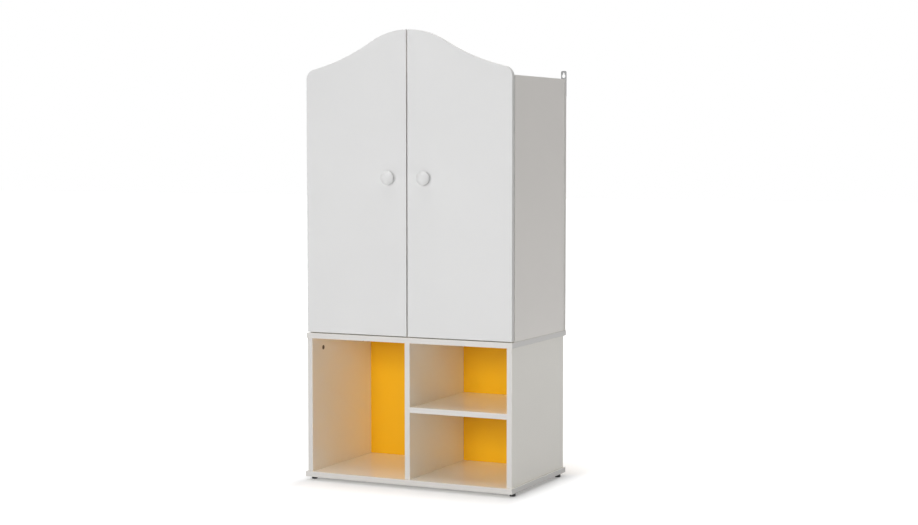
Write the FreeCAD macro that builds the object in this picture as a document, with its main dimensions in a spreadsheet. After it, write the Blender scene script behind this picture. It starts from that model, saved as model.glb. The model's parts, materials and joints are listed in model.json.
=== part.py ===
import FreeCAD, Part
import math
import os
import re
import Sketcher
from FreeCAD import Placement, Rotation, Vector

# Kids wardrobe: a closed wardrobe with two doors and a wavy top, standing on an open base unit.
# Millimetres, +Z up, doors facing -Y, origin on the floor under the middle of the whole.

# Driving sizes
SIZES = {
    # Boards and the carcass as a whole, its depth measured from the front of the doors
    "carcass_width": 750,
    "carcass_depth": 450,
    "board": 18,
    "back_board": 18,
    # Open base unit
    "glide_height": 12,
    "glide_diameter": 20,
    "glide_toe": 1.5,
    "glide_from_edge": 36,
    "glide_recess": 6,
    "glide_screw_grip": 10,
    "base_inner_height": 450,
    "shelf_rise": 221,
    "shelf_setback": 1,
    "top_overhang_side": 2,
    "top_overhang_front": 3,
    "bottom_overhang_side": 5,
    "bottom_overhang_front": 8.5,
    "bottom_setback_rear": 8,
    # Closed wardrobe
    "wardrobe_height": 850,
    "rail_drop": 65,
    "rail_height": 30,
    "rail_width": 15,
    "rail_wall": 1.5,
    "socket_plate": 3,
    "socket_depth": 14,
    "socket_wall": 3,
    "socket_margin": 11,
    "bracket_width": 20,
    "bracket_plate": 2,
    "bracket_rise": 28,
    "bracket_tail": 14,
    "bracket_corner": 5,
    "keyhole_diameter": 12,
    "keyhole_rise": 10.5,
    "keyhole_slot": 5,
    "keyhole_slot_length": 9,
    # Doors
    "door_board": 18,
    "door_gap": 4,
    "door_lift": 3,
    "door_side_inset": 0.5,
    "door_meeting_gap": 4.5,
    "crest_rise": 152,
    "crest_radius": 252,
    "sag_radius": 716,
    "corner_radius": 35,
    "shoulder_drop": 6,
    "bumper_diameter": 8,
    "bumper_from_meeting": 28,
    "bumper_play": 0.3,
    # Knobs, turned
    "knob_from_centre": 65,
    "knob_rise": 518,
    "knob_diameter": 46,
    "knob_projection": 29,
    "knob_foot_diameter": 26,
    "knob_neck_diameter": 20,
    "knob_neck_length": 8,
    "knob_lip": 6,
    "knob_rim_radius": 5,
    # Concealed hinges with one pin each
    "hinge_from_end": 110,
    "cup_diameter": 35,
    "cup_depth": 13,
    "cup_from_edge": 3,
    "flange": 1.2,
    "flange_height": 40,
    "ear_spacing": 45,
    "ear_diameter": 12,
    "ear_offset": 9.5,
    "cup_wall": 0.6,
    "pivot_depth": 7,
    "pin_diameter": 2.5,
    "pin_grip": 3,
    "knuckle_diameter": 4.8,
    "arm_width": 11,
    "arm_strap": 2,
    "arm_body": 6,
    "arm_body_start": 10,
    "arm_body_length": 46,
    "plate_thickness": 2.5,
    "plate_height": 50,
    "plate_depth": 24,
    "plate_from_front": 37,
    "plate_screw_spacing": 32,
    # Fasteners
    "cam_diameter": 15,
    "cam_depth": 12.5,
    "cam_from_edge": 38,
    "cam_from_corner": 75,
    "cam_slot": 2,
    "cam_slot_length": 10,
    "cam_slot_depth": 3,
    "bolt_diameter": 6,
    "bolt_thread_diameter": 5,
    "bolt_thread": 11,
    "dowel_diameter": 8,
    "dowel_length": 30,
    "dowel_grip": 10,
    "dowel_from_corner": 112,
    "back_dowel_from_end": 100,
    "panel_screw_head": 10,
    "panel_screw_head_height": 3,
    "panel_screw_diameter": 6,
    "panel_screw_length": 50,
    "back_screw_head": 8,
    "back_screw_head_height": 3,
    "back_screw_diameter": 4,
    "back_screw_length": 40,
    "back_screw_from_end": 125,
    "back_screw_from_middle": 150,
    "stack_from_middle": 180,
    "stack_from_edge": 70,
    "stack_head": 13,
    "stack_head_height": 2.5,
    "stack_diameter": 6,
    "stack_sleeve_diameter": 9,
    "stack_sleeve_short": 2.5,
    "small_head": 8,
    "small_head_height": 2,
    "small_diameter": 4,
    "small_grip": 12,
    "bracket_head": 2,
    "bracket_screw_grip": 22,
    "bracket_screw_drop": 16,
    "bracket_screw_spacing": 28,
    "ear_screw_head": 7,
    "ear_screw_head_height": 1.5,
    # Clearances, each on one side
    "hole_clearance": 0.1,
    "running_clearance": 0.05,
    "swing_clearance": 0.5,
    "arm_side_clearance": 0.3,
}

# Places worked out from the sizes
PLACES = {
    "half": "carcass_width / 2",
    "inner": "half - board",
    "upright": "half - board / 2",
    "front": "(knob_projection - carcass_depth - bracket_plate - bracket_head) / 2",
    "door_back": "front + door_board",
    "carcass_front": "door_back + door_gap",
    "rear": "front + carcass_depth",
    "carcass_rear": "rear - back_board",
    "inset_back": "carcass_rear - back_board",
    "base_floor": "glide_height + board",
    "base_ceiling": "base_floor + base_inner_height",
    "base_top": "base_ceiling + board",
    "shelf_low": "base_floor + shelf_rise",
    "wardrobe_floor": "base_top + board",
    "carcass_top": "base_top + wardrobe_height",
    "wardrobe_ceiling": "carcass_top - board",
    "rail_y": "(carcass_front + carcass_rear) / 2",
    "rail_z": "wardrobe_ceiling - rail_drop",
    "rail_flat": "rail_height - rail_width",
    "socket_width": "rail_width + 2 * (hole_clearance + socket_wall)",
    "socket_face": "inner - socket_plate",
    "bracket_x": "half - bracket_width / 2",
    "bracket_top": "carcass_top + bracket_rise",
    "bracket_screw_high": "carcass_top - bracket_screw_drop",
    "bracket_screw_low": "bracket_screw_high - bracket_screw_spacing",
    "keyhole_z": "carcass_top + keyhole_rise",
    "door_low": "base_top + door_lift",
    "door_edge": "half - door_side_inset",
    "meeting_edge": "door_meeting_gap / 2",
    "shoulder": "carcass_top - shoulder_drop",
    "crest_centre": "carcass_top + crest_rise - crest_radius",
    "knob_z": "door_low + knob_rise",
    "cup_x": "door_edge - cup_from_edge - cup_diameter / 2",
    "cavity_half": "arm_width / 2 + arm_side_clearance",
    "cavity_high": "cup_x + sqrt((cup_diameter / 2 - cup_wall) ^ 2 - cavity_half ^ 2)",
    "pivot_x": "cavity_high - swing_clearance - knuckle_diameter / 2",
    "pivot_y": "door_back - pivot_depth",
    "ear_x": "cup_x - ear_offset",
    "flange_face": "door_back + flange",
    "leg_high": "inner - plate_thickness",
    "leg_low": "leg_high - arm_strap",
    "arm_face": "leg_high - arm_body",
    "plate_y": "carcass_front + plate_from_front",
    "pin_length": "2 * (cavity_half + pin_grip)",
}

DIRECTIONS = {
    "+X": ("x", "+", Rotation(Vector(0, 1, 0), 90)),
    "-X": ("x", "-", Rotation(Vector(0, 1, 0), -90)),
    "+Y": ("y", "+", Rotation(Vector(1, 0, 0), -90)),
    "-Y": ("y", "-", Rotation(Vector(1, 0, 0), 90)),
    "+Z": ("z", "+", Rotation()),
    "-Z": ("z", "-", Rotation(Vector(1, 0, 0), 180)),
}

doc = FreeCAD.newDocument("KidsWardrobe")
sheet = doc.addObject("Spreadsheet::Sheet", "Sizes")
for row, (alias, size) in enumerate(SIZES.items(), start=1):
    sheet.set(f"A{row}", str(size))
    sheet.setAlias(f"A{row}", alias)
doc.recompute()

NODES = {}


def formula(text):
    """Write a formula of plain words out in full, down to the cells of the sheet."""
    def written_out(match):
        word = match.group(0)
        if word in PLACES:
            return "(" + formula(PLACES[word]) + ")"
        if word in SIZES:
            return "Sizes." + word
        return word
    return re.sub(r"[A-Za-z_]\w*", written_out, text)


def worth(text):
    """What a formula comes to with the sizes as they stand."""
    return sheet.evalExpression(formula(text))


def bind(thing, prop, text):
    """Tie one property of a document object to a formula of the sizes."""
    thing.setExpression(prop, formula(text))


def keep(label, thing):
    """Name a finished piece and list it among the pieces of the wardrobe."""
    thing.Label = label
    NODES[label] = thing
    return thing


def block(label, x, y, z):
    """A rectangular solid between a low and a high formula on each axis."""
    box = doc.addObject("Part::Box", label + "_block")
    for axis, prop, (low, high) in zip("xyz", ("Length", "Width", "Height"), (x, y, z)):
        bind(box, prop, f"({high}) - ({low})")
        bind(box, f"Placement.Base.{axis}", low)
    return box


def around(middle, width):
    """The low and high formulas of a span centred on a place."""
    return f"{middle} - ({width}) / 2", f"{middle} + ({width}) / 2"


def join(label, pieces):
    """Several touching solids made into one."""
    whole = doc.addObject("Part::MultiFuse", label + "_joined")
    whole.Shapes = pieces
    return whole


def turned(label, along, at, steps):
    """A stepped round piece: each step has its near and far diameter and its length."""
    axis, sign, turn = DIRECTIONS[along]
    rods = []
    reach = "0"
    for near, far, length in steps:
        if near == far:
            rod = doc.addObject("Part::Cylinder", label + "_rod")
            bind(rod, "Radius", f"({near}) / 2")
        else:
            rod = doc.addObject("Part::Cone", label + "_taper")
            bind(rod, "Radius1", f"({near}) / 2")
            bind(rod, "Radius2", f"({far}) / 2")
        bind(rod, "Height", length)
        rod.Placement = Placement(Vector(), turn)
        for name, start in zip("xyz", at):
            shift = f" {sign} ({reach})" if name == axis else ""
            bind(rod, f"Placement.Base.{name}", f"({start}){shift}")
        reach = f"{reach} + ({length})"
        rods.append(rod)
    return rods[0] if len(rods) == 1 else join(label, rods)


def plain(diameter, length):
    """One step of constant diameter."""
    return diameter, diameter, length


def group(label, pieces):
    """Separate like solids held together under one name."""
    several = doc.addObject("Part::Compound", label + "_group")
    several.Links = pieces
    return several


def cut(label, base, tools):
    """Take the tools away from a solid, one after the other."""
    for tool in tools:
        left = doc.addObject("Part::Cut", label + "_cut")
        left.Base = base
        left.Tool = tool
        base = left
    return base


def holes(label, places, steps, clearance="hole_clearance"):
    """The holes for a set of fasteners, wider than them by a clearance."""
    wide = [(f"{near} + 2 * {clearance}", f"{far} + 2 * {clearance}", length)
            for near, far, length in steps]
    return group(label, [turned(label, along, at, wide) for along, at in places])


def fasteners(label, places, steps):
    """A set of like fasteners, as solids and as the holes that they sit in."""
    solids = group(label, [turned(label, along, at, steps) for along, at in places])
    return solids, holes(label + "_holes", places, steps)


def mirror(label, source):
    """The left-hand piece, mirrored from the right-hand one."""
    other = doc.addObject("Part::Mirroring", label + "_mirrored")
    other.Source = source
    other.Base = Vector(0, 0, 0)
    other.Normal = Vector(1, 0, 0)
    return keep(label, other)


def pair(name, right):
    """Keep a right-hand piece and its mirrored left-hand twin."""
    keep("right_" + name, right)
    return mirror("left_" + name, right)


def body_with_sketch(label, plane):
    """A part design body and a sketch on one of its own planes."""
    body = doc.addObject("PartDesign::Body", label + "_body")
    sketch = body.newObject("Sketcher::SketchObject", label + "_sketch")
    support = [flat for flat in body.Origin.OriginFeatures if flat.Role == plane]
    sketch.AttachmentSupport = (support[0], [""])
    sketch.MapMode = "FlatFace"
    return body, sketch


def constrain(sketch, relations, dimensions):
    """Hold a drawn outline by its relations, and by dimensions that are each tied to a formula."""
    fixed = [Sketcher.Constraint(kind, *where) for kind, *where in relations]
    driven = [Sketcher.Constraint(kind, *where, worth(text)) for kind, where, text in dimensions]
    sketch.addConstraint(fixed + driven)
    for number, (_, _, text) in enumerate(dimensions, start=len(fixed)):
        bind(sketch, f"Constraints[{number}]", text)


def cams(label, places):
    """Cam locks, each with a screwdriver slot across its face, and their bores."""
    solids, bores = fasteners(label, places, [plain("cam_diameter", "cam_depth")])
    slots = []
    for along, (x, y, z) in places:
        axis, sign, _ = DIRECTIONS[along]
        spans = {"x": around(x, "cam_slot"), "y": around(y, "cam_slot_length"), "z": around(z, "cam_slot")}
        face = {"x": x, "z": z}[axis]
        deep = f"{face} {sign} cam_slot_depth"
        spans[axis] = (face, deep) if sign == "+" else (deep, face)
        slots.append(block(label + "_slot", spans["x"], spans["y"], spans["z"]))
    return cut(label, solids, [group(label + "_slots", slots)]), bores


# Rows of fasteners along the depth of the base unit and of the wardrobe
BASE_ROWS = ["front + cam_from_corner", "carcass_rear - cam_from_corner"]
BASE_DOWEL_ROWS = ["front + dowel_from_corner", "carcass_rear - dowel_from_corner"]
UPPER_ROWS = ["carcass_front + cam_from_corner", "carcass_rear - cam_from_corner"]
UPPER_DOWEL_ROWS = ["carcass_front + dowel_from_corner", "carcass_rear - dowel_from_corner"]
UPRIGHTS = ["-(upright)", "0", "upright"]

# Base unit: cam locks and bolts that pull the top board down on the sides and the divider
CAM_LEVEL = "base_ceiling - cam_from_edge"
base_cam_places = []
for y in BASE_ROWS:
    base_cam_places.append(("-X", ("-(inner)", y, CAM_LEVEL)))
    base_cam_places.append(("+X", ("-(board / 2)", y, CAM_LEVEL)))
    base_cam_places.append(("+X", ("inner", y, CAM_LEVEL)))
base_bolt_places = [("+Z", (x, y, CAM_LEVEL)) for x in UPRIGHTS for y in BASE_ROWS]
bolt_steps = [plain("bolt_diameter", "cam_from_edge"), plain("bolt_thread_diameter", "bolt_thread")]
base_cams, base_cam_bores = cams("base_cam_locks", base_cam_places)
base_bolts, base_bolt_holes = fasteners("base_cam_bolts", base_bolt_places, bolt_steps)
keep("base_cam_locks", cut("base_cam_locks", base_cams, [base_bolt_holes]))
keep("base_cam_bolts", base_bolts)

# Base unit: screws up through the bottom board into the sides and the divider
panel_screw_steps = [
    plain("panel_screw_head", "panel_screw_head_height"),
    plain("panel_screw_diameter", "panel_screw_length"),
]
panel_screw_places = [("+Z", (x, y, "glide_height")) for x in UPRIGHTS for y in BASE_ROWS]
panel_screws, panel_screw_holes = fasteners("base_panel_screws", panel_screw_places, panel_screw_steps)
keep("base_panel_screws", panel_screws)

# Base unit: wooden dowels in every joint between boards
SHELF_MIDDLE = "shelf_low + board / 2"
BACK_MIDDLE = "carcass_rear - back_board / 2"
base_dowel_places = []
for y in BASE_DOWEL_ROWS:
    for x in UPRIGHTS:
        base_dowel_places.append(("-Z", (x, y, "base_ceiling + dowel_grip")))
        base_dowel_places.append(("+Z", (x, y, "base_floor - dowel_grip")))
    base_dowel_places.append(("+X", ("board / 2 - dowel_grip", y, SHELF_MIDDLE)))
    base_dowel_places.append(("-X", ("inner + dowel_grip", y, SHELF_MIDDLE)))
for z in ("base_floor + back_dowel_from_end", "base_ceiling - back_dowel_from_end"):
    base_dowel_places.append(("+X", ("-(inner) - dowel_grip", BACK_MIDDLE, z)))
    base_dowel_places.append(("-X", ("inner + dowel_grip", BACK_MIDDLE, z)))
dowel_steps = [plain("dowel_diameter", "dowel_length")]
base_dowels, base_dowel_holes = fasteners("base_dowels", base_dowel_places, dowel_steps)
keep("base_dowels", base_dowels)

# Black glides and the screws that hold them under the bottom board
glide_rows = {
    "front": "front - bottom_overhang_front + glide_from_edge",
    "rear": "rear - bottom_setback_rear - glide_from_edge",
}
glide_sides = {"left": "-(upright)", "right": "upright"}
glide_steps = [
    ("glide_diameter - 2 * glide_toe", "glide_diameter", "glide_toe"),
    plain("glide_diameter", "glide_height - glide_toe"),
]
glide_screw_steps = [
    plain("small_head", "small_head_height"),
    plain("small_diameter", "glide_height - glide_recess + glide_screw_grip"),
]
glide_screw_places = []
for y in glide_rows.values():
    for x in glide_sides.values():
        glide_screw_places.append(("+Z", (x, y, "glide_recess - small_head_height")))
glide_screws, glide_screw_holes = fasteners("glide_screws", glide_screw_places, glide_screw_steps)
keep("glide_screws", glide_screws)
recess = [plain("small_head + 2 * hole_clearance", "glide_recess")]
for row_name, y in glide_rows.items():
    for side_name, x in glide_sides.items():
        name = f"glide_{row_name}_{side_name}"
        glide = turned(name, "+Z", (x, y, "0"), glide_steps)
        well = turned(name + "_recess", "+Z", (x, y, "0"), recess)
        keep(name, cut(name, glide, [well, glide_screw_holes]))

# Bolts and sleeve nuts that hold the wardrobe down on the base unit
stack_rows = ["carcass_front + stack_from_edge", "carcass_rear - stack_from_edge"]
stack_places = [(x, y) for x in ("-(stack_from_middle)", "stack_from_middle") for y in stack_rows]
stack_bolt_places = [("-Z", (x, y, "wardrobe_floor")) for x, y in stack_places]
stack_nut_places = [("+Z", (x, y, "base_ceiling")) for x, y in stack_places]
stack_bolt_steps = [
    plain("stack_head", "stack_head_height"),
    plain("stack_diameter", "2 * (board - stack_head_height)"),
]
stack_nut_steps = [
    plain("stack_head", "stack_head_height"),
    plain("stack_sleeve_diameter", "board - stack_head_height - stack_sleeve_short"),
]
stack_bolts, stack_bolt_holes = fasteners("stacking_bolts", stack_bolt_places, stack_bolt_steps)
stack_nuts, stack_nut_holes = fasteners("stacking_sleeve_nuts", stack_nut_places, stack_nut_steps)
keep("stacking_bolts", stack_bolts)
keep("stacking_sleeve_nuts", cut("stacking_sleeve_nuts", stack_nuts, [stack_bolt_holes]))

# Boards of the base unit
base_depth = ("front", "carcass_rear")
between = ("base_floor", "base_ceiling")
side_tools = [base_cam_bores, base_bolt_holes, base_dowel_holes, panel_screw_holes]
left_blank = block("base_left_side", ("-(half)", "-(inner)"), base_depth, between)
keep("base_left_side", cut("base_left_side", left_blank, side_tools))
right_blank = block("base_right_side", ("inner", "half"), base_depth, between)
keep("base_right_side", cut("base_right_side", right_blank, side_tools))
divider_blank = block("base_divider", around("0", "board"), ("front", "inset_back"), between)
keep("base_divider", cut("base_divider", divider_blank, side_tools))
shelf_blank = block("base_shelf", ("board / 2", "inner"), ("front + shelf_setback", "inset_back"),
                    ("shelf_low", "shelf_low + board"))
keep("base_shelf", cut("base_shelf", shelf_blank, [base_dowel_holes]))
back_blank = block("base_back_panel", ("-(inner)", "inner"), ("inset_back", "carcass_rear"), between)
keep("base_back_panel", cut("base_back_panel", back_blank, [base_dowel_holes]))
bottom_blank = block("base_bottom_board",
                     around("0", "carcass_width + 2 * bottom_overhang_side"),
                     ("front - bottom_overhang_front", "rear - bottom_setback_rear"),
                     ("glide_height", "base_floor"))
keep("base_bottom_board", cut("base_bottom_board", bottom_blank,
                              [panel_screw_holes, base_dowel_holes, glide_screw_holes]))
top_blank = block("base_top_board", around("0", "carcass_width + 2 * top_overhang_side"),
                  ("front - top_overhang_front", "rear"), ("base_ceiling", "base_top"))
keep("base_top_board", cut("base_top_board", top_blank,
                           [base_bolt_holes, base_dowel_holes, stack_bolt_holes, stack_nut_holes]))

# Wardrobe: cam locks, bolts and dowels at its four corners
UPPER_LEVELS = {
    "-Z": ("carcass_top", "carcass_top - board / 2"),
    "+Z": ("base_top", "base_top + board / 2"),
}
upper_cam_places = []
upper_bolt_places = []
upper_dowel_places = []
for along, (face, middle) in UPPER_LEVELS.items():
    for outward, x in (("-X", "-(inner) + cam_from_edge"), ("+X", "inner - cam_from_edge")):
        upper_cam_places += [(along, (x, y, face)) for y in UPPER_ROWS]
        upper_bolt_places += [(outward, (x, y, middle)) for y in UPPER_ROWS]
    for inward, x in (("+X", "-(inner) - dowel_grip"), ("-X", "inner + dowel_grip")):
        upper_dowel_places += [(inward, (x, y, middle)) for y in UPPER_DOWEL_ROWS]
upper_cams, upper_cam_bores = cams("wardrobe_cam_locks", upper_cam_places)
upper_bolts, upper_bolt_holes = fasteners("wardrobe_cam_bolts", upper_bolt_places, bolt_steps)
upper_dowels, upper_dowel_holes = fasteners("wardrobe_dowels", upper_dowel_places, dowel_steps)
keep("wardrobe_cam_locks", cut("wardrobe_cam_locks", upper_cams, [upper_bolt_holes]))
keep("wardrobe_cam_bolts", upper_bolts)
keep("wardrobe_dowels", upper_dowels)

# Wardrobe: countersunk screws through the back panel into the carcass
back_screw_steps = [
    ("back_screw_head", "back_screw_diameter", "back_screw_head_height"),
    plain("back_screw_diameter", "back_screw_length"),
]
back_screw_levels = ["base_top + back_screw_from_end", "(base_top + carcass_top) / 2",
                     "carcass_top - back_screw_from_end"]
back_screw_places = [("-Y", (x, "rear", z)) for x in ("-(upright)", "upright") for z in back_screw_levels]
for x in ("-(back_screw_from_middle)", "back_screw_from_middle"):
    for z in ("base_top + board / 2", "carcass_top - board / 2"):
        back_screw_places.append(("-Y", (x, "rear", z)))
back_screws, back_screw_holes = fasteners("back_panel_screws", back_screw_places, back_screw_steps)
keep("back_panel_screws", back_screws)

# Zinc wall brackets with a keyhole above the carcass, and their screws
bracket_screw_steps = [
    plain("small_head", "bracket_head"),
    plain("small_diameter", "bracket_plate + back_board + bracket_screw_grip"),
]
bracket_screw_places = []
for x in ("-(bracket_x)", "bracket_x"):
    for z in ("bracket_screw_high", "bracket_screw_low"):
        bracket_screw_places.append(("-Y", (x, "rear + bracket_plate + bracket_head", z)))
bracket_screws, bracket_screw_holes = fasteners("wall_bracket_screws", bracket_screw_places,
                                                bracket_screw_steps)
keep("wall_bracket_screws", bracket_screws)
bracket_depth = ("rear", "rear + bracket_plate")
bracket_pieces = [
    block("wall_bracket", around("bracket_x", "bracket_width"), bracket_depth,
          ("bracket_screw_low - bracket_tail", "bracket_top - bracket_corner")),
    block("wall_bracket_tip", around("bracket_x", "bracket_width - 2 * bracket_corner"), bracket_depth,
          ("bracket_top - bracket_corner", "bracket_top")),
]
for x in ("bracket_x - bracket_width / 2 + bracket_corner", "bracket_x + bracket_width / 2 - bracket_corner"):
    bracket_pieces.append(turned("wall_bracket_round", "+Y", (x, "rear", "bracket_top - bracket_corner"),
                                 [plain("2 * bracket_corner", "bracket_plate")]))
keyhole_at = ("bracket_x", "rear", "keyhole_z")
slot_end = ("bracket_x", "rear", "keyhole_z + keyhole_slot_length")
keyhole = join("keyhole", [
    turned("keyhole_round", "+Y", keyhole_at, [plain("keyhole_diameter", "bracket_plate")]),
    turned("keyhole_end", "+Y", slot_end, [plain("keyhole_slot", "bracket_plate")]),
    block("keyhole_slot", around("bracket_x", "keyhole_slot"), bracket_depth,
          ("keyhole_z", "keyhole_z + keyhole_slot_length")),
])
bracket_plate = join("wall_bracket", bracket_pieces)
pair("wall_bracket", cut("wall_bracket", bracket_plate, [keyhole, bracket_screw_holes]))


# Clothes rail, an oval tube held at each end in a socket on the side
def oval(label, x, width, flat):
    """An upright oval bar along X: a flat-sided middle with a round above and below."""
    length = [plain(width, f"({x[1]}) - ({x[0]})")]
    parts = [block(label, x, around("rail_y", width), around("rail_z", flat))]
    for z in (f"rail_z - ({flat}) / 2", f"rail_z + ({flat}) / 2"):
        parts.append(turned(label, "+X", (x[0], "rail_y", z), length))
    return join(label, parts)


rail_span = ("-(socket_face) + hole_clearance", "socket_face - hole_clearance")
rail_bar = oval("clothes_rail", rail_span, "rail_width", "rail_flat")
rail_hollow = oval("rail_hollow", rail_span, "rail_width - 2 * rail_wall", "rail_flat")
keep("clothes_rail", cut("clothes_rail", rail_bar, [rail_hollow]))
socket_screw_steps = [
    plain("small_head", "small_head_height"),
    plain("small_diameter", "socket_plate + small_grip"),
]
SOCKET_SCREW_RISE = "rail_height / 2 + socket_wall + small_head / 2 + 2 * hole_clearance"
socket_screw_places = []
for z in (f"rail_z - ({SOCKET_SCREW_RISE})", f"rail_z + ({SOCKET_SCREW_RISE})"):
    socket_screw_places.append(("+X", ("socket_face - small_head_height", "rail_y", z)))
    socket_screw_places.append(("-X", ("-(socket_face) + small_head_height", "rail_y", z)))
socket_screws, socket_screw_holes = fasteners("rail_socket_screws", socket_screw_places, socket_screw_steps)
keep("rail_socket_screws", socket_screws)
socket_body = join("rail_socket", [
    oval("socket_plate", ("socket_face", "inner"), "socket_width", "rail_flat + 2 * socket_margin"),
    oval("socket_collar", ("socket_face - socket_depth", "socket_face"), "socket_width", "rail_flat"),
])
socket_well = oval("socket_well", ("socket_face - socket_depth", "socket_face"),
                   "rail_width + 2 * hole_clearance", "rail_flat")
pair("rail_socket", cut("rail_socket", socket_body, [socket_well, socket_screw_holes]))

# Hinges: where they stand on each door
HINGE_LEVELS = [
    "base_top + hinge_from_end",
    "(base_top + carcass_top) / 2",
    "carcass_top - hinge_from_end",
]
ear_screw_places = []
plate_screw_places = []
arm_screw_places = []
pin_places = []
cup_places = []
for z in HINGE_LEVELS:
    for end in around(z, "ear_spacing"):
        ear_screw_places.append(("-Y", ("ear_x", "flange_face + ear_screw_head_height", end)))
    for end in around(z, "plate_screw_spacing"):
        plate_screw_places.append(("+X", ("leg_high - small_head_height", "plate_y", end)))
    arm_screw_places.append(("+X", ("arm_face - small_head_height", "plate_y", z)))
    pin_places.append(("+Z", ("pivot_x", "pivot_y", f"{z} - pin_length / 2")))
    cup_places.append(("-Y", ("cup_x", "door_back", z)))
ear_screw_steps = [
    plain("ear_screw_head", "ear_screw_head_height"),
    plain("small_diameter", "flange + small_grip"),
]
plate_screw_steps = [
    plain("small_head", "small_head_height"),
    plain("small_diameter", "plate_thickness + small_grip"),
]
arm_screw_steps = [
    plain("small_head", "small_head_height"),
    plain("small_diameter", "arm_body + plate_thickness + small_grip"),
]
pin_steps = [plain("pin_diameter", "pin_length")]
ear_screws, ear_screw_holes = fasteners("hinge_cup_screws", ear_screw_places, ear_screw_steps)
plate_screws, plate_screw_holes = fasteners("hinge_plate_screws", plate_screw_places, plate_screw_steps)
arm_screws, arm_screw_holes = fasteners("hinge_arm_screws", arm_screw_places, arm_screw_steps)
pins = group("hinge_pins", [turned("hinge_pins", along, at, pin_steps) for along, at in pin_places])
pin_seats = holes("hinge_pin_seats", pin_places, pin_steps, "running_clearance")
pair("hinge_cup_screws", ear_screws)
pair("hinge_plate_screws", plate_screws)
pair("hinge_arm_screws", arm_screws)
pair("hinge_pins", pins)


# Hinges: the cup sunk in the door, hollowed where the arm swings
def hinge_cup(z):
    """One cup with its flange and ears, still without holes."""
    flange_depth = [plain("ear_diameter", "flange")]
    parts = [
        turned("hinge_cup", "-Y", ("cup_x", "door_back", z), [plain("cup_diameter", "cup_depth")]),
        block("hinge_flange", ("ear_x - ear_diameter / 2", "cup_x + cup_diameter / 2"),
              ("door_back", "flange_face"), around(z, "flange_height")),
    ]
    for end in around(z, "ear_spacing"):
        parts.append(turned("hinge_ear", "+Y", ("ear_x", "door_back", end), flange_depth))
    cavity = block("hinge_cavity",
                   ("leg_low - swing_clearance", "cavity_high"),
                   ("pivot_y - knuckle_diameter / 2 - swing_clearance", "flange_face"),
                   around(z, "2 * cavity_half"))
    return cut("hinge_cup", join("hinge_cup", parts), [cavity])


cups = group("hinge_cups", [hinge_cup(z) for z in HINGE_LEVELS])
pair("hinge_cups", cut("hinge_cups", cups, [pin_seats, ear_screw_holes]))


# Hinges: the arm, a strap from the pin back to the side, and the plate that it is screwed on
def hinge_arm(z):
    """One arm: a knuckle round the pin, a neck across the cup, and a leg along the side."""
    width = around(z, "arm_width")
    strap = around("pivot_y", "arm_strap")
    body_start = "carcass_front + arm_body_start"
    body_end = f"{body_start} + arm_body_length"
    knuckle = [plain("knuckle_diameter", "arm_width")]
    return join("hinge_arm", [
        turned("hinge_knuckle", "+Z", ("pivot_x", "pivot_y", width[0]), knuckle),
        block("hinge_neck", ("leg_low", "pivot_x"), strap, width),
        block("hinge_leg", ("leg_low", "leg_high"), (strap[0], body_end), width),
        block("hinge_arm_body", ("arm_face", "leg_high"), (body_start, body_end), width),
    ])


arms = group("hinge_arms", [hinge_arm(z) for z in HINGE_LEVELS])
pair("hinge_arms", cut("hinge_arms", arms, [pin_seats, arm_screw_holes]))
plates = group("hinge_plates", [
    block("hinge_plate", ("leg_high", "inner"), around("plate_y", "plate_depth"), around(z, "plate_height"))
    for z in HINGE_LEVELS
])
pair("hinge_plates", cut("hinge_plates", plates, [plate_screw_holes, arm_screw_holes]))

# Boards of the wardrobe
upper_depth = ("carcass_front", "carcass_rear")
upper_width = ("-(inner)", "inner")
side_blank = block("wardrobe_side", ("inner", "half"), upper_depth, ("base_top", "carcass_top"))
pair("wardrobe_side", cut("wardrobe_side", side_blank, [
    upper_bolt_holes, upper_dowel_holes, back_screw_holes, bracket_screw_holes,
    socket_screw_holes, plate_screw_holes, arm_screw_holes]))
panel_tools = [upper_cam_bores, upper_bolt_holes, upper_dowel_holes, back_screw_holes]
floor_blank = block("wardrobe_bottom_panel", upper_width, upper_depth, ("base_top", "wardrobe_floor"))
keep("wardrobe_bottom_panel", cut("wardrobe_bottom_panel", floor_blank, panel_tools + [stack_bolt_holes]))
ceiling_blank = block("wardrobe_top_panel", upper_width, upper_depth, ("wardrobe_ceiling", "carcass_top"))
keep("wardrobe_top_panel", cut("wardrobe_top_panel", ceiling_blank, panel_tools))
upper_back_blank = block("wardrobe_back_panel", around("0", "carcass_width"), ("carcass_rear", "rear"),
                         ("base_top", "carcass_top"))
back_tools = [back_screw_holes, bracket_screw_holes]
keep("wardrobe_back_panel", cut("wardrobe_back_panel", upper_back_blank, back_tools))

# Knob screws, through the door from behind
knob_screw_steps = [
    plain("small_head", "small_head_height"),
    plain("small_diameter", "door_board + small_grip"),
]
knob_screw_places = [("-Y", ("knob_from_centre", "door_back + small_head_height", "knob_z"))]
knob_screw, knob_screw_hole = fasteners("knob_screw", knob_screw_places, knob_screw_steps)
pair("knob_screw", knob_screw)


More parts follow.
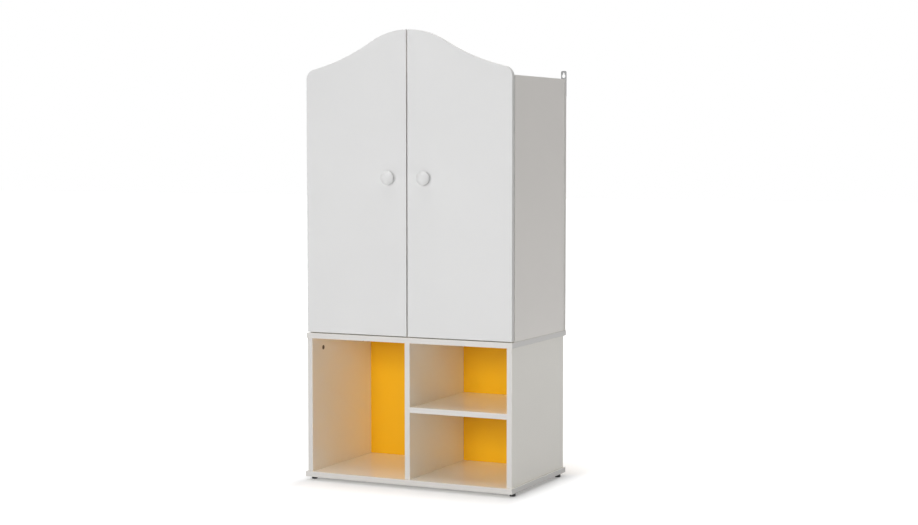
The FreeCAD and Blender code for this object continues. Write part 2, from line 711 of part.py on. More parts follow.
# Doors: the outline has a rounded shoulder, a long sag and a crest at the middle of the wardrobe
def door_outline(sketch):
    """Half of the wavy outline: three arcs that run smoothly into one another."""
    low, inside, outside = worth("door_low"), worth("meeting_edge"), worth("door_edge")
    crest, sag, corner = worth("crest_radius"), worth("sag_radius"), worth("corner_radius")
    crest_at = Vector(0, worth("crest_centre"), 0)
    corner_at = Vector(outside - corner, worth("shoulder"), 0)
    # The sag's centre lies one radius of the sag beyond both the crest and the corner
    link = corner_at - crest_at
    span = link.Length
    along = (span ** 2 + (crest + sag) ** 2 - (corner + sag) ** 2) / (2 * span)
    aside = math.sqrt((crest + sag) ** 2 - along ** 2)
    link.normalize()
    sag_at = crest_at + link * along + Vector(-link.y, link.x, 0) * aside

    def arc(centre, radius, start, end):
        circle = Part.Circle(centre, Vector(0, 0, 1), radius)
        return Part.ArcOfCircle(circle, start, end)

    def heading(start, end):
        return math.atan2(end.y - start.y, end.x - start.x)

    shoulder = Vector(outside, corner_at.y, 0)
    top = Vector(inside, crest_at.y + math.sqrt(crest ** 2 - inside ** 2), 0)
    sketch.addGeometry(Part.LineSegment(Vector(inside, low, 0), Vector(outside, low, 0)))
    sketch.addGeometry(Part.LineSegment(Vector(outside, low, 0), shoulder))
    sketch.addGeometry(arc(corner_at, corner, 0, heading(corner_at, sag_at)))
    sketch.addGeometry(arc(sag_at, sag, heading(sag_at, crest_at), heading(sag_at, corner_at)))
    sketch.addGeometry(arc(crest_at, crest, heading(crest_at, sag_at), heading(crest_at, top)))
    sketch.addGeometry(Part.LineSegment(top, Vector(inside, low, 0)))
    bottom_line, outer_line, corner_arc, sag_arc, crest_arc, inner_line = range(6)
    start, end, centre = 1, 2, 3
    relations = [
        ("Coincident", bottom_line, end, outer_line, start),
        ("Tangent", outer_line, end, corner_arc, start),
        ("Tangent", corner_arc, end, sag_arc, end),
        ("Tangent", sag_arc, start, crest_arc, start),
        ("Coincident", crest_arc, end, inner_line, start),
        ("Coincident", inner_line, end, bottom_line, start),
        ("Horizontal", bottom_line),
        ("Vertical", outer_line),
        ("Vertical", inner_line),
        ("PointOnObject", crest_arc, centre, -2),
    ]
    dimensions = [
        ("DistanceX", (-1, 1, bottom_line, start), "meeting_edge"),
        ("DistanceX", (-1, 1, bottom_line, end), "door_edge"),
        ("DistanceY", (-1, 1, bottom_line, start), "door_low"),
        ("DistanceY", (-1, 1, corner_arc, centre), "shoulder"),
        ("DistanceY", (-1, 1, crest_arc, centre), "crest_centre"),
        ("Radius", (corner_arc,), "corner_radius"),
        ("Radius", (sag_arc,), "sag_radius"),
        ("Radius", (crest_arc,), "crest_radius"),
    ]
    constrain(sketch, relations, dimensions)


door_body, door_sketch = body_with_sketch("door", "XZ_Plane")
door_outline(door_sketch)
door_pad = door_body.newObject("PartDesign::Pad", "door_thickness")
door_pad.Profile = door_sketch
door_pad.Reversed = True
bind(door_pad, "Length", "door_board")
bind(door_body, "Placement.Base.y", "front")
cup_bores = holes("cup_bores", cup_places, [plain("cup_diameter", "cup_depth + hole_clearance")])
pair("door", cut("door", door_body, [cup_bores, ear_screw_holes, knob_screw_hole]))

# Soft bumpers that meet the front edges of the wardrobe's top and bottom panels
bumper_steps = [plain("bumper_diameter", "door_gap - bumper_play")]
bumpers = group("door_bumpers", [
    turned("door_bumper", "+Y", ("meeting_edge + bumper_from_meeting", "door_back", z), bumper_steps)
    for z in ("base_top + board / 2", "carcass_top - board / 2")
])
pair("door_bumpers", bumpers)


# Knobs: a turned profile with a flared foot, a round rim and a domed face
def knob_profile(sketch):
    """Half of the knob's section, to be turned about the sketch's upright axis."""
    foot, neck = worth("knob_foot_diameter / 2"), worth("knob_neck_diameter / 2")
    rim, reach = worth("knob_rim_radius"), worth("knob_projection")
    neck_end = worth("-knob_neck_length")
    rim_at = Vector(worth("knob_diameter / 2") - rim, neck_end - worth("knob_lip"), 0)
    ahead = reach + rim_at.y
    dome = (rim_at.x ** 2 + ahead ** 2 - rim ** 2) / (2 * (ahead - rim))
    dome_at = Vector(0, dome - reach, 0)
    meet = math.atan2(rim_at.y - dome_at.y, rim_at.x)
    up = Vector(0, 0, 1)
    origin = Vector(0, 0, 0)
    waist = Vector(neck, neck_end, 0)
    tip = Vector(0, -reach, 0)
    sketch.addGeometry(Part.LineSegment(origin, Vector(foot, 0, 0)))
    sketch.addGeometry(Part.LineSegment(Vector(foot, 0, 0), waist))
    sketch.addGeometry(Part.LineSegment(waist, rim_at + Vector(0, rim, 0)))
    sketch.addGeometry(Part.ArcOfCircle(Part.Circle(rim_at, up, rim), meet, math.pi / 2))
    sketch.addGeometry(Part.ArcOfCircle(Part.Circle(dome_at, up, dome), -math.pi / 2, meet))
    sketch.addGeometry(Part.LineSegment(tip, origin))
    foot_line, neck_line, under_line, rim_arc, dome_arc, axis_line = range(6)
    start, end, centre = 1, 2, 3
    relations = [
        ("Coincident", foot_line, start, -1, 1),
        ("Coincident", foot_line, end, neck_line, start),
        ("Coincident", neck_line, end, under_line, start),
        ("Coincident", under_line, end, rim_arc, end),
        ("Tangent", rim_arc, start, dome_arc, end),
        ("Coincident", dome_arc, start, axis_line, start),
        ("Coincident", axis_line, end, foot_line, start),
        ("Horizontal", foot_line),
        ("Vertical", axis_line),
        ("Vertical", rim_arc, end, rim_arc, centre),
        ("PointOnObject", dome_arc, centre, -2),
    ]
    dimensions = [
        ("DistanceX", (-1, 1, foot_line, end), "knob_foot_diameter / 2"),
        ("DistanceX", (-1, 1, neck_line, end), "knob_neck_diameter / 2"),
        ("DistanceY", (neck_line, end, -1, 1), "knob_neck_length"),
        ("Radius", (rim_arc,), "knob_rim_radius"),
        ("DistanceX", (-1, 1, rim_arc, centre), "knob_diameter / 2 - knob_rim_radius"),
        ("DistanceY", (rim_arc, centre, -1, 1), "knob_neck_length + knob_lip"),
        ("DistanceY", (dome_arc, start, -1, 1), "knob_projection"),
    ]
    constrain(sketch, relations, dimensions)


knob_body, knob_sketch = body_with_sketch("knob", "XY_Plane")
knob_profile(knob_sketch)
knob_turning = knob_body.newObject("PartDesign::Revolution", "knob_turning")
knob_turning.Profile = knob_sketch
knob_turning.ReferenceAxis = (knob_sketch, ["V_Axis"])
knob_turning.Angle = 360
for axis, place in zip("xyz", ("knob_from_centre", "front", "knob_z")):
    bind(knob_body, f"Placement.Base.{axis}", place)
pair("knob", cut("knob", knob_body, [knob_screw_hole]))

doc.recompute()

# Every object has to be sound before anything is written
for thing in doc.Objects:
    faults = [state for state in thing.State if state in ("Invalid", "Error")]
    if faults:
        raise RuntimeError(f"{thing.Label}: {', '.join(faults)}")
for label, thing in NODES.items():
    if thing.Shape.isNull() or not thing.Shape.isValid() or not thing.Shape.Solids:
        raise RuntimeError(f"{label}: no sound solid")

os.makedirs("parts", exist_ok=True)
for label, thing in NODES.items():
    thing.Shape.exportStep(f"parts/{label}.step")
whole = Part.makeCompound([thing.Shape for thing in NODES.values()]).BoundBox
print(f"{len(NODES)} pieces, {whole.XLength:.1f} x {whole.YLength:.1f} x {whole.ZLength:.1f} mm")
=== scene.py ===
# %% [markdown]
# # A kids wardrobe, from bare boards to a finished portrait
# The wardrobe is flat-pack furniture: white melamine boards, a yellow back behind the open shelves,
# two doors with a wavy top and round turned knobs. All this could be modelled again here, but its
# boards and fittings come in as a measured frame, with the doors on their hinges. So this lesson leaves
# the frame where it is, and gives it rounded edges, finishes, fine metalwork, a floor, light and a
# camera.

# %% Load the measured frame
import bpy
import bmesh
import json
import math
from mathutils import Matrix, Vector


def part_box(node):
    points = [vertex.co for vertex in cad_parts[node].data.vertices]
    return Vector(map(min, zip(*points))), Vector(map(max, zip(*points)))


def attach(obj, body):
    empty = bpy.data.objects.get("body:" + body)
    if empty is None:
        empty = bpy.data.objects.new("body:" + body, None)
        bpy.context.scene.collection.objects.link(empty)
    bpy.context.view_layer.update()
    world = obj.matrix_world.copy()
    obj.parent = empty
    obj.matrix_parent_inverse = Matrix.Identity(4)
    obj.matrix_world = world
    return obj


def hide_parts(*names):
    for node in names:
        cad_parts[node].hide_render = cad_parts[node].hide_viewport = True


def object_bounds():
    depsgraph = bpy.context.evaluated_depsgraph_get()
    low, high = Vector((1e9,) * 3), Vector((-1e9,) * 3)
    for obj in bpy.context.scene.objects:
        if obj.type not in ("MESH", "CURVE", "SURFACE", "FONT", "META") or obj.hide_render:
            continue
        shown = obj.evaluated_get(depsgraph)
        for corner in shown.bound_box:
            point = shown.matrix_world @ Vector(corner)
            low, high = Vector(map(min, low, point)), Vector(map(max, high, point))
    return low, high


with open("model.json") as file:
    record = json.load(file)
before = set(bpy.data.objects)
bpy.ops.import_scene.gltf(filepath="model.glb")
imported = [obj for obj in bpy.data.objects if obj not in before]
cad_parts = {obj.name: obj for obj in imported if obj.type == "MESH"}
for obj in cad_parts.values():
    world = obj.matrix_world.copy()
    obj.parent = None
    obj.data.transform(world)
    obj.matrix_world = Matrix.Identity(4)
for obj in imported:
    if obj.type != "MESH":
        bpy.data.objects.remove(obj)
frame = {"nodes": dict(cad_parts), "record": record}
cad_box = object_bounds()
wardrobe_middle = (cad_box[0] + cad_box[1]) / 2
nodes = frame["nodes"]
bodies = frame["record"]["behaviour"]["bodies"]
slots = {row["node"]: row["material_slot"] for row in frame["record"]["subparts"]}


def rounded(box):
    """The corners of a box to a tenth of a millimetre, for printing."""
    return [tuple(round(value, 4) for value in corner) for corner in box]


print(len(nodes), "pieces in the frame, box", rounded(cad_box))

# %% [markdown]
# ## The camera
# A catalogue picture is taken from well back with a long lens, so that a tall cupboard looks calm.
# Here the camera stands in front and to the right, at about a grown-up's chest, dipped a little.
# A lens shift would keep the uprights perfectly upright, but it would also push the wardrobe out of
# every other view, and the lean without it is about a pixel.

# %% Place the camera
camera_place = Vector((2.698, -5.467, 1.125))
camera_turn = math.radians(25.53)
camera_dip = math.radians(3.69)
camera_lens = 71.18
film_width = 36
camera = bpy.data.objects.new("portrait_camera", bpy.data.cameras.new("portrait_lens"))
camera.location = camera_place
camera.rotation_euler = (math.pi / 2 - camera_dip, 0, camera_turn)
camera.data.sensor_width = film_width
camera.data.lens = camera_lens
bpy.context.scene.collection.objects.link(camera)
bpy.context.scene.camera = camera
print("camera", round((camera_place - wardrobe_middle).length, 2), "m from the wardrobe")

# %% [markdown]
# ## Small tools for finishes
# Every finish below is a small web of nodes round one shader. Such webs could be wired by hand in the
# shader editor, but every board needs the same web with numbers of its own, so here they are written
# as code. One helper starts a material, one adds a node and wires it in one go, and the others do sums
# on values and on vectors.

# %% Helpers for node webs
def new_finish(name):
    """A fresh material: returns it with its node tree and its main shader."""
    finish = bpy.data.materials.new(name)
    finish.use_nodes = True
    return finish, finish.node_tree, finish.node_tree.nodes["Principled BSDF"]


def wire(tree, value, socket):
    """Join a socket to another, or set a plain value on it."""
    if isinstance(value, bpy.types.NodeSocket):
        tree.links.new(value, socket)
    else:
        socket.default_value = value


def add(tree, kind, settings=None, **inputs):
    """Add a node. Settings are its own options, inputs are values or sockets of other nodes."""
    node = tree.nodes.new("ShaderNode" + kind)
    for option, value in (settings or {}).items():
        setattr(node, option, value)
    for socket, value in inputs.items():
        numbered = socket.startswith("in") and socket[2:].isdigit()
        place = int(socket[2:]) if numbered else socket.replace("_", " ")
        wire(tree, value, node.inputs[place])
    return node


def sums(tree, operation, first, second=0.0, third=0.0):
    """One step of arithmetic on values."""
    return add(tree, "Math", {"operation": operation}, in0=first, in1=second, in2=third).outputs[0]


def vector_sums(tree, operation, first, second=(0, 0, 0)):
    """One step of arithmetic on vectors."""
    return add(tree, "VectorMath", {"operation": operation}, in0=first, in1=second).outputs[0]


def length(tree, vector):
    """How long a vector is."""
    return add(tree, "VectorMath", {"operation": "LENGTH"}, in0=vector).outputs["Value"]


# %% [markdown]
# ## Patterns for finishes
# No real surface has one flat colour: its tone drifts in soft clouds, its gloss changes from place to
# place, and its skin is never quite flat. Photographs of surfaces could bring all that. Noise is used
# instead, because in each piece's own coordinates it is measured in metres, it needs no unwrapping, and
# it stays sharp from close by.

# %% Helpers for patterns
noise_low = 0.3
noise_high = 0.7


def noise(tree, place, scale, detail=2.0, stretch=(1, 1, 1)):
    """Soft random patches, about one over the scale in metres across."""
    stretched = add(tree, "Mapping", None, Vector=place, Scale=stretch).outputs[0]
    return add(tree, "TexNoise", None, Vector=stretched, Scale=scale, Detail=detail).outputs[0]


def spread(tree, value, low, high):
    """Turn a pattern into a range of values. Noise keeps near its middle, so that is stretched out."""
    return add(tree, "MapRange", None, Value=value, From_Min=noise_low, From_Max=noise_high,
               To_Min=low, To_Max=high).outputs[0]


def blend(tree, share, first, second):
    """Mix two colours."""
    mix = add(tree, "Mix", {"data_type": "RGBA"}, in0=share, in6=first, in7=second)
    return mix.outputs[2]


def shade(colour, factor):
    """A colour made lighter or darker, ready for a socket."""
    return (*(channel * factor for channel in colour), 1)


def toned(tree, share, colour, tones):
    """A colour that drifts between two tones of itself."""
    return blend(tree, share, shade(colour, tones[0]), shade(colour, tones[1]))


def paint(tree, shader, tone, roughness):
    """Wire a colour and a roughness into the main shader."""
    tree.links.new(tone, shader.inputs["Base Color"])
    tree.links.new(roughness, shader.inputs["Roughness"])


def emboss(tree, shader, height, depth, share=1.0):
    """Raise the surface by a pattern, to a depth in metres."""
    bump = add(tree, "Bump", None, Height=height, Distance=depth, Strength=share)
    tree.links.new(bump.outputs[0], shader.inputs["Normal"])


# %% [markdown]
# ## The floor
# In a white studio the floor is clean white, and only where the wardrobe stands is there a soft shade.
# Strong light could make the floor that white, but it would bleach the wardrobe as well. So the floor
# is one matte plane with a glow of its own, which shows only to rays that the eye follows and casts no
# light on the wardrobe. The glow has three levels: weak at the foot of the wardrobe, where the shade
# has to stay, stronger beside it, and full white far off. The shade round the foot is partly the real
# shadow of the lamps and partly painted shade, drawn by the dip of the glow round the base.

# %% Lay the floor
pure_white = (1, 1, 1, 1)
floor_white = (0.74, 0.74, 0.74, 1)
floor_roughness = 0.9
floor_reach = 30.0
foot_glow = 0.24
near_glow = 0.66
far_glow = 1.0
far_reach = 5.0
shade_fade = Vector((0.05, 0.16, 1))
shade_shift = Vector((0.012, -0.01, 0))
any_height = 1.0


def seen_rays(tree):
    """One for rays that the eye follows: straight, mirrored or through glass."""
    rays = add(tree, "LightPath")
    seen = sums(tree, "MAXIMUM", rays.outputs["Is Camera Ray"], rays.outputs["Is Glossy Ray"])
    return sums(tree, "MAXIMUM", seen, rays.outputs["Is Transmission Ray"])


def white_floor_finish():
    """Matte white that shows real and painted shade close to the wardrobe and is lifted to white
    further off.
    """
    finish, tree, shader = new_finish("studio_white")
    shader.inputs["Base Color"].default_value = floor_white
    shader.inputs["Roughness"].default_value = floor_roughness
    shader.inputs["Emission Color"].default_value = pure_white
    low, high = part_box("base_bottom_board")
    reach = (high - low) / 2
    reach.z = any_height
    place = add(tree, "TexCoord").outputs["Object"]
    centred = vector_sums(tree, "SUBTRACT", place, (low + high) / 2 + shade_shift)
    beyond = vector_sums(tree, "SUBTRACT", vector_sums(tree, "ABSOLUTE", centred), reach)
    outside = vector_sums(tree, "MAXIMUM", beyond)
    away = length(tree, vector_sums(tree, "DIVIDE", outside, shade_fade))
    # Painted shade: the glow is lowered round the base and comes back over the shade_fade distances.
    shaded = sums(tree, "EXPONENT", sums(tree, "MULTIPLY", away, -1.0))
    level = add(tree, "MapRange", None, Value=length(tree, outside), From_Max=far_reach,
                To_Min=near_glow, To_Max=far_glow).outputs[0]
    lift = sums(tree, "MULTIPLY_ADD", shaded, foot_glow - near_glow, level)
    tree.links.new(sums(tree, "MULTIPLY", seen_rays(tree), lift), shader.inputs["Emission Strength"])
    return finish


floor_mesh = bpy.data.meshes.new("studio_floor")
corners = [Vector((x, y, 0)) for x, y in ((-1, -1), (1, -1), (1, 1), (-1, 1))]
floor_mesh.from_pydata([corner * floor_reach for corner in corners], [], [(0, 1, 2, 3)])
floor = bpy.data.objects.new("studio_floor", floor_mesh)
floor.location.z = cad_box[0].z
bpy.context.scene.collection.objects.link(floor)
floor.data.materials.append(white_floor_finish())
print("studio floor", 2 * floor_reach, "m wide")

# %% [markdown]
# ## Room and light
# One large lamp stands in front, a little right of the middle, and shines deep into the open shelves,
# so that the yellow back tints the white boards round it. A wide lamp hangs high overhead, two weak
# lamps lift the sides, and one serves the back. Spots or a sun would light the wardrobe too, but wide
# rectangles give the soft shades of a catalogue picture. The front and rear lamps are kept out of
# reflections, because the flat top would mirror them as a white patch. Light in the shelves goes from
# board to board many times, so more diffuse bounces are allowed than usual.

# %% Light the room
room_glow = 0.1
seen_glow = 1.0
world = bpy.data.worlds.new("studio_room")
world.use_nodes = True
bpy.context.scene.world = world
room = world.node_tree
glow = add(room, "MapRange", None, Value=seen_rays(room), To_Min=room_glow, To_Max=seen_glow)
room.links.new(glow.outputs[0], room.nodes["Background"].inputs["Strength"])
room.nodes["Background"].inputs["Color"].default_value = pure_white


def soft_lamp(name, place, width, height, power, mirrored=True):
    """A softbox that faces the middle of the wardrobe, and may be kept out of reflections."""
    lamp = bpy.data.objects.new(name, bpy.data.lights.new(name, "AREA"))
    lamp.data.shape = "RECTANGLE"
    lamp.data.size = width
    lamp.data.size_y = height
    lamp.data.energy = power
    lamp.location = place
    lamp.rotation_euler = (wardrobe_middle - Vector(place)).to_track_quat("-Z", "Y").to_euler()
    lamp.visible_glossy = mirrored
    bpy.context.scene.collection.objects.link(lamp)


soft_lamp("front_softbox", place=(0.25, -5.0, 1.55), width=2.4, height=1.5, power=126, mirrored=False)
soft_lamp("top_softbox", place=(0, -0.7, 8.0), width=6.0, height=6.0, power=330)
for name, across in (("right_fill", 4.0), ("left_fill", -4.0)):
    soft_lamp(name, place=(across, 0.4, 1.5), width=2.0, height=2.0, power=11.0)
soft_lamp("rear_fill", place=(0, 4.5, 1.5), width=2.0, height=2.0, power=40, mirrored=False)
bpy.context.scene.cycles.diffuse_bounces = 10
bpy.context.scene.view_settings.view_transform = "Standard"
print(len(bpy.data.lights), "soft lamps, room glow", room_glow)

# %% [markdown]
# ## Faces and edges of a board
# On a melamine board the faces and the narrow edges are different materials, because the edges are
# closed with a glued band. The edges could have a material slot of their own, but the frame's meshes
# stay as they came. So the finish finds out by itself where it is: from the way that a point of the
# board faces, and from its distance to the ends of the board.

# %% Helpers for boards
axis_names = "XYZ"
edge_limit = 0.5


def thin_axis(node):
    """The direction across a board, as 0, 1 or 2."""
    low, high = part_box(node)
    size = high - low
    return min(range(3), key=lambda axis: size[axis])


def on_the_edge(tree, normal, axis):
    """One on the narrow edges of a board, nought on its faces."""
    across = Vector((0, 0, 0))
    across[axis] = 1
    product = add(tree, "VectorMath", {"operation": "DOT_PRODUCT"}, in0=normal, in1=across)
    facing = sums(tree, "ABSOLUTE", product.outputs["Value"])
    return sums(tree, "LESS_THAN", facing, edge_limit)


def distance_inside(tree, place, node, axis):
    """How far a point on a board's face lies from the nearest end of the board."""
    low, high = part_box(node)
    offset = vector_sums(tree, "SUBTRACT", place, (low + high) / 2)
    offset = vector_sums(tree, "ABSOLUTE", offset)
    inside = vector_sums(tree, "SUBTRACT", (high - low) / 2, offset)
    parts = add(tree, "SeparateXYZ", None, Vector=inside).outputs
    first, second = [parts[name] for name in axis_names if name != axis_names[axis]]
    return sums(tree, "MINIMUM", first, second)


# %% [markdown]
# ## Melamine
# Melamine is a hard printed paper pressed on chipboard. Its face has a fine pearl emboss, a soft sheen
# and an almost even colour. The edge band is a slightly different white, and where band and face meet
# there is a hair-thin glue line. All boards could share one material, but each one gets its own,
# because the band and the line have to know which way the board lies and where it ends.

# %% Mix the melamine
band_thickness = 0.001
band_dullness = 0.13
glue_line = 0.00012
glue_share = 0.35
glue_tone = 0.55
cloud_scale = 5
even_tones = (0.994, 1.004)
fleck_scale = 320
fleck_share = 0.2
fleck_tone = 0.985
wipe_scale = 420
pearl_scale = 900
pearl_depth = 0.0001
pearl_share = 0.12


def melamine(node, face, edge, gloss, sheen):
    """Melamine for one board: face colour, edge colour, a range of roughness, how much it mirrors."""
    finish, tree, shader = new_finish(node + "_melamine")
    coords = add(tree, "TexCoord").outputs
    place = coords["Object"]
    axis = thin_axis(node)
    edges = on_the_edge(tree, coords["Normal"], axis)
    faces = sums(tree, "SUBTRACT", 1.0, edges)
    clouds = spread(tree, noise(tree, place, cloud_scale), 0, 1)
    flecks = spread(tree, noise(tree, place, fleck_scale, detail=3), 0, 1)
    tone = toned(tree, clouds, face, even_tones)
    tone = blend(tree, sums(tree, "MULTIPLY", flecks, fleck_share), tone, shade(face, fleck_tone))
    tone = blend(tree, edges, tone, toned(tree, flecks, edge, even_tones))
    line = sums(tree, "COMPARE", distance_inside(tree, place, node, axis), band_thickness, glue_line)
    line = sums(tree, "MULTIPLY", sums(tree, "MULTIPLY", line, faces), glue_share)
    tone = blend(tree, line, tone, shade(edge, glue_tone))
    wiped = spread(tree, noise(tree, place, wipe_scale, detail=3), *gloss)
    paint(tree, shader, tone, sums(tree, "MULTIPLY_ADD", edges, band_dullness, wiped))
    shader.inputs["Specular IOR Level"].default_value = sheen
    emboss(tree, shader, noise(tree, place, pearl_scale, detail=3), pearl_depth, pearl_share)
    return finish


# %% [markdown]
# ## White and yellow boards
# The white boards are not all alike. Those of the base are the glossiest, the upper sides are a little
# duller, and the other upper panels are duller still. The other upper panels are also a darker white
# than the sides, a painted shade for lying deeper inside. The base's faces are a creamy white, partly
# their own warm tone and partly painted yellow light bounced from the back. Its band is much darker
# than its faces, partly a different white and partly painted shade on the front edges, where the front
# lamp falls full on them. One yellow panel closes the base. Each look could be typed in board by board,
# but a small table with four looks is easier to tune. No range of roughness in it crosses 0.27, because
# there the denoiser changes how it treats a surface, and a range on both sides can come out blotchy.

# %% Finish the boards
white_sheen = 0.5
yellow_sheen = 0.35
upper_edge = (0.86, 0.84, 0.8)
board_looks = {
    # Base: the cream of the faces is partly painted yellow bounce light, the darker band partly painted
    # shade.
    "base": ((0.92, 0.888, 0.815), (0.735, 0.715, 0.69), (0.07, 0.1), white_sheen),
    "upper_side": ((0.93, 0.89, 0.84), upper_edge, (0.16, 0.22), white_sheen),
    # Painted shade: the upper panels take a darker copy of the sides' white.
    "upper_panel": ((0.82, 0.8, 0.765), upper_edge, (0.42, 0.5), white_sheen),
    "yellow": ((0.945, 0.515, 0.013), (0.92, 0.455, 0.012), (0.34, 0.44), yellow_sheen),
}


def look_of(node):
    """The name of a board's look, from its slot and its place in the wardrobe."""
    if slots[node] == "yellow_board":
        return "yellow"
    if node.startswith("base_"):
        return "base"
    # The upper panels get the darker white, which is painted shade.
    return "upper_side" if node.endswith("_side") else "upper_panel"


doors = [node for node in slots if node.endswith("_door")]
boards = [node for node in slots if slots[node].endswith("_board") and node not in doors]
for node in boards:
    nodes[node].material_slots[0].material = melamine(node, *board_looks[look_of(node)])
print(len(boards), "boards finished")

# %% [markdown]
# ## Lacquered doors
# The doors are cut from fibre board, because a curved top can't take a straight edge band, and are
# sprayed white on all sides. Spray lacquer shows a very shallow orange peel and is a little less shiny
# on the routed edges, where the board drinks it. The edges are also a lighter white than the faces, a
# painted light for edges that turn away from the front lamp. The peel could be modelled as bumps in
# the mesh, but it is far finer than any sensible mesh, so a bump node does it.

# %% Finish the doors
door_white = (0.762, 0.762, 0.76)
# Painted light: the edges get a lighter white than the face.
door_edge_painted_light = (0.82, 0.81, 0.79, 1)
door_edge_dullness = 0.12
spray_scale = 3.5
spray_tones = (0.988, 1.01)
mist_scale = 45
mist_gloss = (0.34, 0.42)
peel_scale = 210
peel_depth = 0.0002
peel_share = 0.08


def door_lacquer(node):
    """Sprayed lacquer: orange peel, soft clouds, duller edges in a lighter white as painted light."""
    finish, tree, shader = new_finish(node + "_lacquer")
    coords = add(tree, "TexCoord").outputs
    place = coords["Object"]
    edges = on_the_edge(tree, coords["Normal"], thin_axis(node))
    clouds = spread(tree, noise(tree, place, spray_scale), 0, 1)
    # Painted light: the edges take a lighter white than the face.
    tone = blend(tree, edges, toned(tree, clouds, door_white, spray_tones), door_edge_painted_light)
    mist = spread(tree, noise(tree, place, mist_scale, detail=4), *mist_gloss)
    paint(tree, shader, tone, sums(tree, "MULTIPLY_ADD", edges, door_edge_dullness, mist))
    emboss(tree, shader, noise(tree, place, peel_scale, detail=1.5), peel_depth, peel_share)
    return finish


for node in doors:
    nodes[node].material_slots[0].material = door_lacquer(node)
print(len(doors), "doors finished")

# %% [markdown]
# ## Turned knobs
# The knobs are turned from wood and lacquered, so their skin keeps a trace of the turning, in rings
# round the middle. A wave texture could draw such rings, but it would have to be moved to each knob.
# A sine of the distance from the knob's own middle finds the place by itself.

# %% Finish the knobs
knob_white = (0.755, 0.755, 0.752)
knob_tones = (0.988, 1.008)
knob_gloss = (0.285, 0.345)
knob_cloud_scale = 60
knob_wipe_scale = 180
knob_grain_scale = 260
ring_step = 0.0011
ring_share = 0.3
skin_depth = 0.0001
skin_share = 0.1


def knob_lacquer(node):
    """Lacquer over turned wood, with faint rings round the knob's own middle."""
    finish, tree, shader = new_finish(node + "_lacquer")
    low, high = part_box(node)
    place = add(tree, "TexCoord").outputs["Object"]
    centred = vector_sums(tree, "SUBTRACT", place, (low + high) / 2)
    out = length(tree, vector_sums(tree, "MULTIPLY", centred, (1, 0, 1)))
    rings = sums(tree, "SINE", sums(tree, "MULTIPLY", out, 2 * math.pi / ring_step))
    clouds = spread(tree, noise(tree, place, knob_cloud_scale, detail=3), 0, 1)
    wiped = spread(tree, noise(tree, place, knob_wipe_scale, detail=3), *knob_gloss)
    paint(tree, shader, toned(tree, clouds, knob_white, knob_tones), wiped)
    skin = sums(tree, "MULTIPLY_ADD", rings, ring_share, noise(tree, place, knob_grain_scale))
    emboss(tree, shader, skin, skin_depth, skin_share)
    return finish


knobs = [node for node in slots if node.endswith("_knob")]
for node in knobs:
    nodes[node].material_slots[0].material = knob_lacquer(node)
print(len(knobs), "knobs finished")

# %% [markdown]
# ## Metal
# Brackets and screws are zinc plated, the hinges are nickel plated, the clothes rail is a chromed tube
# and the cam locks are cast. Zinc has a blotchy crystal pattern, drawn tube has long fine lines, and
# castings are dark and grainy. Each could have a web of its own, but they differ only in numbers, so
# one metallic finish with a grain and a share of crystals serves them all.

# %% Mix the metal
crystal_scale = 260
crystal_tone = 0.72
crystal_dullness = 0.12
grain_tones = (0.93, 1.05)
grain_depth = 0.00004
grain_share = 0.25


def metal(name, colour, gloss, grain, stretch=(1, 1, 1), crystals=0.0):
    """Plated metal: a range of roughness, a grain scale with its stretch, and a share of crystals."""
    finish, tree, shader = new_finish(name)
    place = add(tree, "TexCoord").outputs["Object"]
    shader.inputs["Metallic"].default_value = 1.0
    lines = noise(tree, place, grain, detail=4, stretch=stretch)
    patches = add(tree, "TexVoronoi", None, Vector=place, Scale=crystal_scale).outputs["Color"]
    patches = add(tree, "SeparateColor", None, Color=patches).outputs[0]
    tone = toned(tree, spread(tree, lines, 0, 1), colour, grain_tones)
    tone = blend(tree, sums(tree, "MULTIPLY", patches, crystals), tone, shade(colour, crystal_tone))
    dull = spread(tree, lines, *gloss)
    paint(tree, shader, tone, sums(tree, "MULTIPLY_ADD", patches, crystal_dullness * crystals, dull))
    emboss(tree, shader, lines, grain_depth, grain_share)
    return finish


# %% [markdown]
# ## Plastic, wood and rubber
# The glides under the base are moulded black plastic with a scuffed foot, the dowels are plain beech,
# and the door bumpers are clear soft drops that gather dust. A painted mask could mark the worn foot,
# but height above the floor tells the same, because a glide only rubs where it touches.

# %% Mix plastic, wood and rubber
def black_plastic():
    """Moulded plastic, grey and rough where it rubs on the floor."""
    finish, tree, shader = new_finish("moulded_black")
    foot_height = 0.003
    fresh_black = (0.01, 0.01, 0.011, 1)
    scuffed_grey = (0.07, 0.07, 0.068, 1)
    fresh_roughness = 0.45
    scuff_dullness = 0.25
    scuff_scale = 700
    mould_scale = 1600
    place = add(tree, "TexCoord").outputs["Object"]
    rise = add(tree, "SeparateXYZ", None, Vector=place).outputs["Z"]
    foot = add(tree, "MapRange", None, Value=rise, From_Min=0, From_Max=foot_height, To_Min=1, To_Max=0)
    scuffs = spread(tree, noise(tree, place, scuff_scale, detail=5, stretch=(1, 1, 3)), 0, 1)
    worn = sums(tree, "MULTIPLY", foot.outputs[0], scuffs)
    tone = blend(tree, worn, fresh_black, scuffed_grey)
    paint(tree, shader, tone, sums(tree, "MULTIPLY_ADD", worn, scuff_dullness, fresh_roughness))
    emboss(tree, shader, noise(tree, place, mould_scale, detail=3), depth=0.00008, share=0.3)
    return finish


